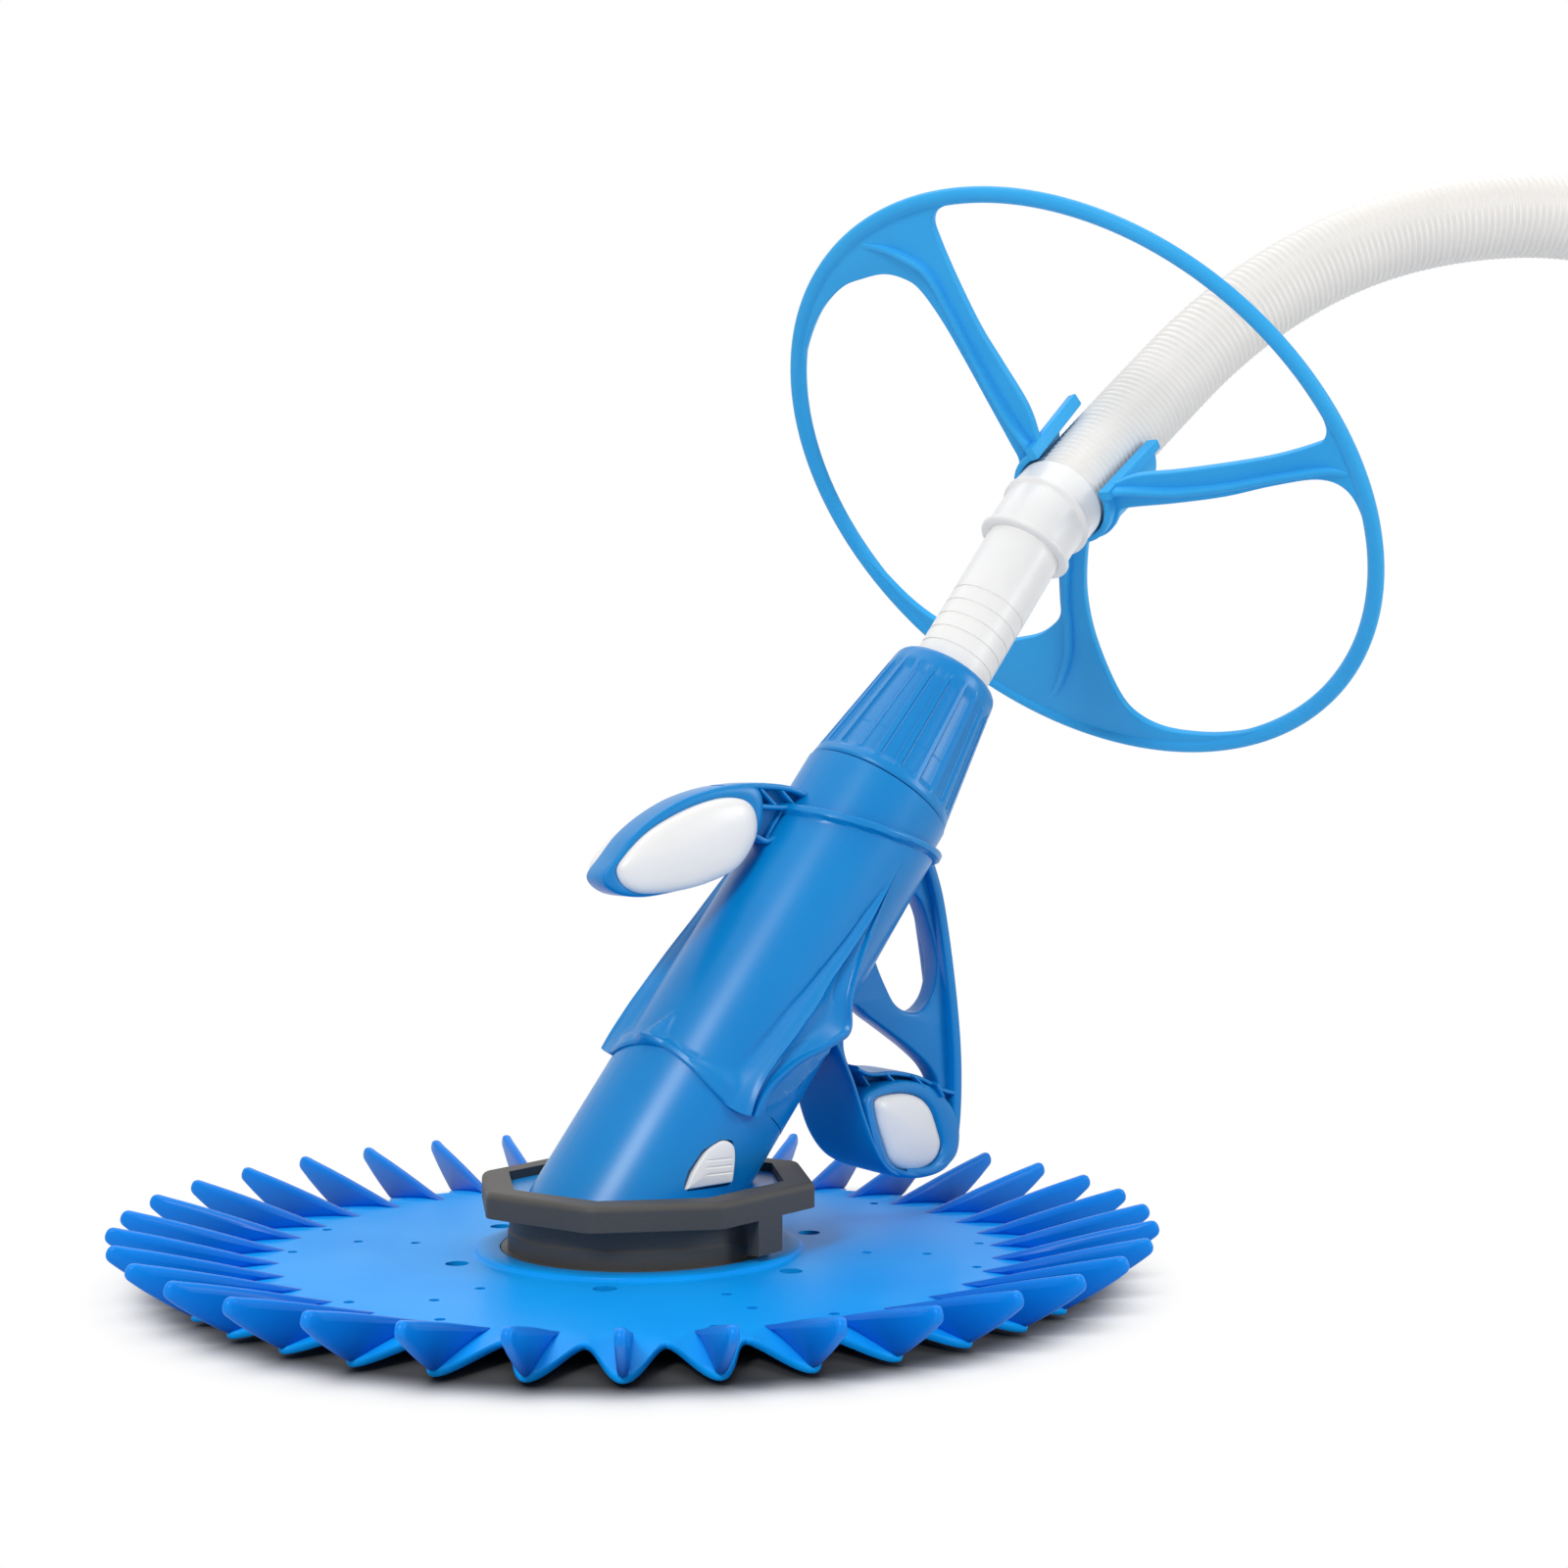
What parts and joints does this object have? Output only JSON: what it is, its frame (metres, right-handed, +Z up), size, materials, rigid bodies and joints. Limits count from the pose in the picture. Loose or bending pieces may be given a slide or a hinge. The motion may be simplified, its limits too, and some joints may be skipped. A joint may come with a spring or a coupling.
{
  "type": "suction pool cleaner",
  "caption": "Suction-side pool cleaner with a finned disc, a leaning barrel on a rubber foot, bumper arms, a deflector wheel and a ribbed leader hose.",
  "frame": {"origin": "centre of the suction inlet on the underside of the foot, on the floor", "axes": "+Z up, +X the way the barrel leans, -Y the side with the near gill and button"},
  "size_m": [1.3561, 0.452, 0.5305],
  "materials": {
    "disc_blue": "satin",
    "body_blue": "satin",
    "wheel_blue": "satin",
    "black_rubber": "matte",
    "white_plastic": "satin",
    "grey_plastic": "matte",
    "steel": "brushed"
  },
  "bodies": {
    "body": {"barrel": "body_blue", "shroud": "body_blue", "top_arm": "body_blue", "bottom_arm": "body_blue", "foot_pad": "black_rubber", "foot_neck": "black_rubber", "foot_collar": "black_rubber", "diaphragm": "black_rubber", "tube_seal": "black_rubber", "top_pad": "white_plastic", "bottom_pad": "white_plastic", "hose_cuff": "white_plastic", "far_cuff": "white_plastic", "leader_hose": "white_plastic", "disc_retainer": "grey_plastic", "diaphragm_seat": "grey_plastic", "diaphragm_clamp": "grey_plastic", "swivel_bush": "grey_plastic", "foot_screws": "steel", "button_spring_near": "steel", "button_spring_far": "steel"},
    "disc": {"finned_disc": "disc_blue", "disc_bush": "grey_plastic"},
    "nut": {"hand_nut": "body_blue"},
    "swivel": {"swivel_tube": "white_plastic"},
    "wheel": {"deflector_wheel": "wheel_blue"},
    "button_near": {"release_button_near": "white_plastic"},
    "button_far": {"release_button_far": "white_plastic"}
  },
  "joints": [
    {"name": "disc_spin", "type": "hinge", "parent": "body", "child": "disc", "pos_m": [0, 0, 0.0085], "axis": [0, 0, 1], "continuous": true},
    {"name": "nut_turn", "type": "hinge", "parent": "body", "child": "nut", "pos_m": [0, 0, 0.035], "axis": [0.5878, 0, 0.809], "range_deg": [0, 60]},
    {"name": "tube_swivel", "type": "hinge", "parent": "body", "child": "swivel", "pos_m": [0, 0, 0.035], "axis": [0.5878, 0, 0.809], "continuous": true},
    {"name": "wheel_spin", "type": "hinge", "parent": "body", "child": "wheel", "pos_m": [0.24432, 0.00435, 0.35909], "axis": [0.7575, 0.1451, 0.6365], "continuous": true},
    {"name": "button_near_press", "type": "slide", "parent": "body", "child": "button_near", "axis": [0, 1, 0], "range_m": [0, 0.003], "stiffness_N_per_m": 900, "deforming": ["button_spring_near"]},
    {"name": "button_far_press", "type": "slide", "parent": "body", "child": "button_far", "axis": [0, -1, 0], "range_m": [0, 0.003], "stiffness_N_per_m": 900, "deforming": ["button_spring_far"]}
  ]
}
